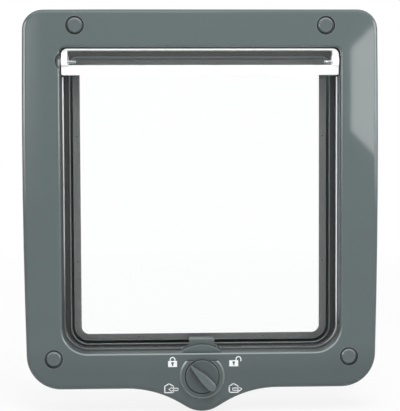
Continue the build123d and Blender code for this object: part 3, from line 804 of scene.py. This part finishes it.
def pale_floor():
    """Return the floor's material, which is whiter to the camera the further it lies from the object."""
    made, tree, shader = material("pale floor")
    cloud = noise(tree, FLOOR_SCALE, FINE_DETAIL)
    tree.links.new(tinted(tree, cloud, FLOOR_WHITE, FLOOR_MOTTLE), shader.inputs["Base Color"])
    shader.inputs["Roughness"].default_value = FLOOR_ROUGHNESS
    place = tree.nodes.new("ShaderNodeTexCoord")
    reach = tree.nodes.new("ShaderNodeVectorMath")
    reach.operation = "LENGTH"
    tree.links.new(place.outputs["Object"], reach.inputs[0])
    share = ranged(tree, reach.outputs["Value"], FLOOR_FADE, FLOOR_SHARE)
    surface = tree.nodes["Material Output"].inputs["Surface"]
    white_to_camera(tree, shader.outputs["BSDF"], share, surface)
    return made


# Pale floor that keeps a soft shadow
floor_z = cad_low.z - FLOOR_GAP
floor_corners = [(x * FLOOR_HALF, y * FLOOR_HALF, floor_z) for x, y in ((-1, -1), (1, -1), (1, 1), (-1, 1))]
floor_mesh = bpy.data.meshes.new("floor")
floor_mesh.from_pydata(floor_corners, [], [(0, 1, 2, 3)])
floor_mesh.materials.append(pale_floor())
floor = bpy.data.objects.new("floor", floor_mesh)
bpy.context.scene.collection.objects.link(floor)

# Studio world: soft fill on the object, white where it is seen
world = bpy.data.worlds.new("studio")
world.use_nodes = True
bpy.context.scene.world = world
fill = world.node_tree.nodes["Background"]
fill.inputs["Color"].default_value = rgba(FILL_WHITE)
fill.inputs["Strength"].default_value = FILL_STRENGTH
world_surface = world.node_tree.nodes["World Output"].inputs["Surface"]
white_to_camera(world.node_tree, fill.outputs["Background"], 1.0, world_surface)


def lamp(name, place, target, size, brightness, lights=True, mirrored=True):
    """Add one soft rectangular lamp that lights surfaces, is mirrored by them, or both."""
    data = bpy.data.lights.new(name, "AREA")
    data.shape = "RECTANGLE"
    data.size = size[0]
    data.size_y = size[1]
    data.energy = brightness * math.pi * size[0] * size[1]
    piece = bpy.data.objects.new(name, data)
    bpy.context.scene.collection.objects.link(piece)
    piece.location = place
    aim = Vector(target) - Vector(place)
    piece.rotation_euler = aim.to_track_quat("-Z", "Y").to_euler()
    piece.visible_diffuse = lights
    piece.visible_glossy = mirrored
    return piece


def card(name, place, target, size, brightness):
    """Add a lamp that is only mirrored."""
    return lamp(name, place, target, size, brightness, lights=False)


def lamp_face(piece):
    """Return a lamp's node tree, the place on its face from 0 to 1 each way, and its strength."""
    piece.data.use_nodes = True
    tree = piece.data.node_tree
    geometry = tree.nodes.new("ShaderNodeNewGeometry")
    return tree, axes(tree, geometry.outputs["Parametric"]), tree.nodes["Emission"].inputs["Strength"]


def cut_corners(piece):
    """Give a square lamp the eight sides of a soft box."""
    tree, place, strength = lamp_face(piece)
    away_x = maths(tree, "ABSOLUTE", maths(tree, "SUBTRACT", place["X"], FACE_MIDDLE))
    away_y = maths(tree, "ABSOLUTE", maths(tree, "SUBTRACT", place["Y"], FACE_MIDDLE))
    lit = below(tree, maths(tree, "ADD", away_x, away_y), SOFT_BOX_CUT)
    tree.links.new(lit, strength)


def fade_in(piece, rise, sideways=False):
    """Let a lamp grow from dark upwards over a share of its height and, where asked, from right to left."""
    tree, place, strength = lamp_face(piece)
    glow = ranged(tree, place["Y"], (0.0, rise), (0.0, 1.0))
    if sideways:
        glow = product(tree, glow, ranged(tree, place["X"], (0.0, 1.0), (1.0, 0.0)))
    tree.links.new(glow, strength)


def ahead(place):
    """Return the point straight ahead of a place, level with it and at the origin's depth."""
    return (place[0], 0.0, place[2])


# Lamps that light the object, and cards that only its gloss shows
lamp("key", KEY_PLACE, ORIGIN, KEY_SIZE, KEY_BRIGHTNESS, mirrored=False)
lamp("top", TOP_PLACE, ORIGIN, TOP_SIZE, TOP_BRIGHTNESS, mirrored=False)
soft_box = card("soft_box", SOFT_BOX_PLACE, ahead(SOFT_BOX_PLACE), SOFT_BOX_SIZE, SOFT_BOX_BRIGHTNESS)
cut_corners(soft_box)
card("high_card", HIGH_CARD_PLACE, ORIGIN, HIGH_CARD_SIZE, HIGH_CARD_BRIGHTNESS)
sheen_aim = ahead(SHEEN_CARD_PLACE)
sheen_card = card("sheen_card", SHEEN_CARD_PLACE, sheen_aim, SHEEN_CARD_SIZE, SHEEN_CARD_BRIGHTNESS)
fade_in(sheen_card, SHEEN_CARD_RISE, sideways=True)
lamp("rear", REAR_PLACE, ORIGIN, REAR_SIZE, REAR_BRIGHTNESS)
for side in (-1, 1):
    side_x, side_y, side_z = SIDE_CARD_PLACE
    side_place = (side * side_x, side_y, side_z)
    side_aim = (0.0, 0.0, side_z)
    side_card = card(f"card_{side}", side_place, side_aim, SIDE_CARD_SIZE, SIDE_CARD_BRIGHTNESS)
    fade_in(side_card, SIDE_CARD_RISE)

# Camera
azimuth = math.radians(CAMERA_AZIMUTH)
elevation = math.radians(CAMERA_ELEVATION)
roll = math.radians(CAMERA_ROLL)
back_x = math.sin(azimuth) * math.cos(elevation)
back_y = -math.cos(azimuth) * math.cos(elevation)
backward = Vector((back_x, back_y, math.sin(elevation)))
level = Vector((math.cos(azimuth), math.sin(azimuth), 0.0))
plumb = backward.cross(level)
right = level * math.cos(roll) + plumb * math.sin(roll)
upward = plumb * math.cos(roll) - level * math.sin(roll)
longest = max(PHOTO_WIDTH, PHOTO_HEIGHT)
camera_data = bpy.data.cameras.new("camera")
camera_data.sensor_width = SENSOR
camera_data.lens = FOCAL_PIXELS * SENSOR / longest
camera_data.shift_x = (PHOTO_WIDTH / 2 - CENTRE_PIXELS[0]) / longest
camera_data.shift_y = (CENTRE_PIXELS[1] - PHOTO_HEIGHT / 2) / longest
camera = bpy.data.objects.new("camera", camera_data)
bpy.context.scene.collection.objects.link(camera)
turn = Matrix((right, upward, backward)).transposed().to_4x4()
camera.matrix_world = Matrix.Translation(CAMERA_TARGET + backward * CAMERA_DISTANCE) @ turn
bpy.context.scene.camera = camera

bpy.context.scene.view_settings.view_transform = "Standard"
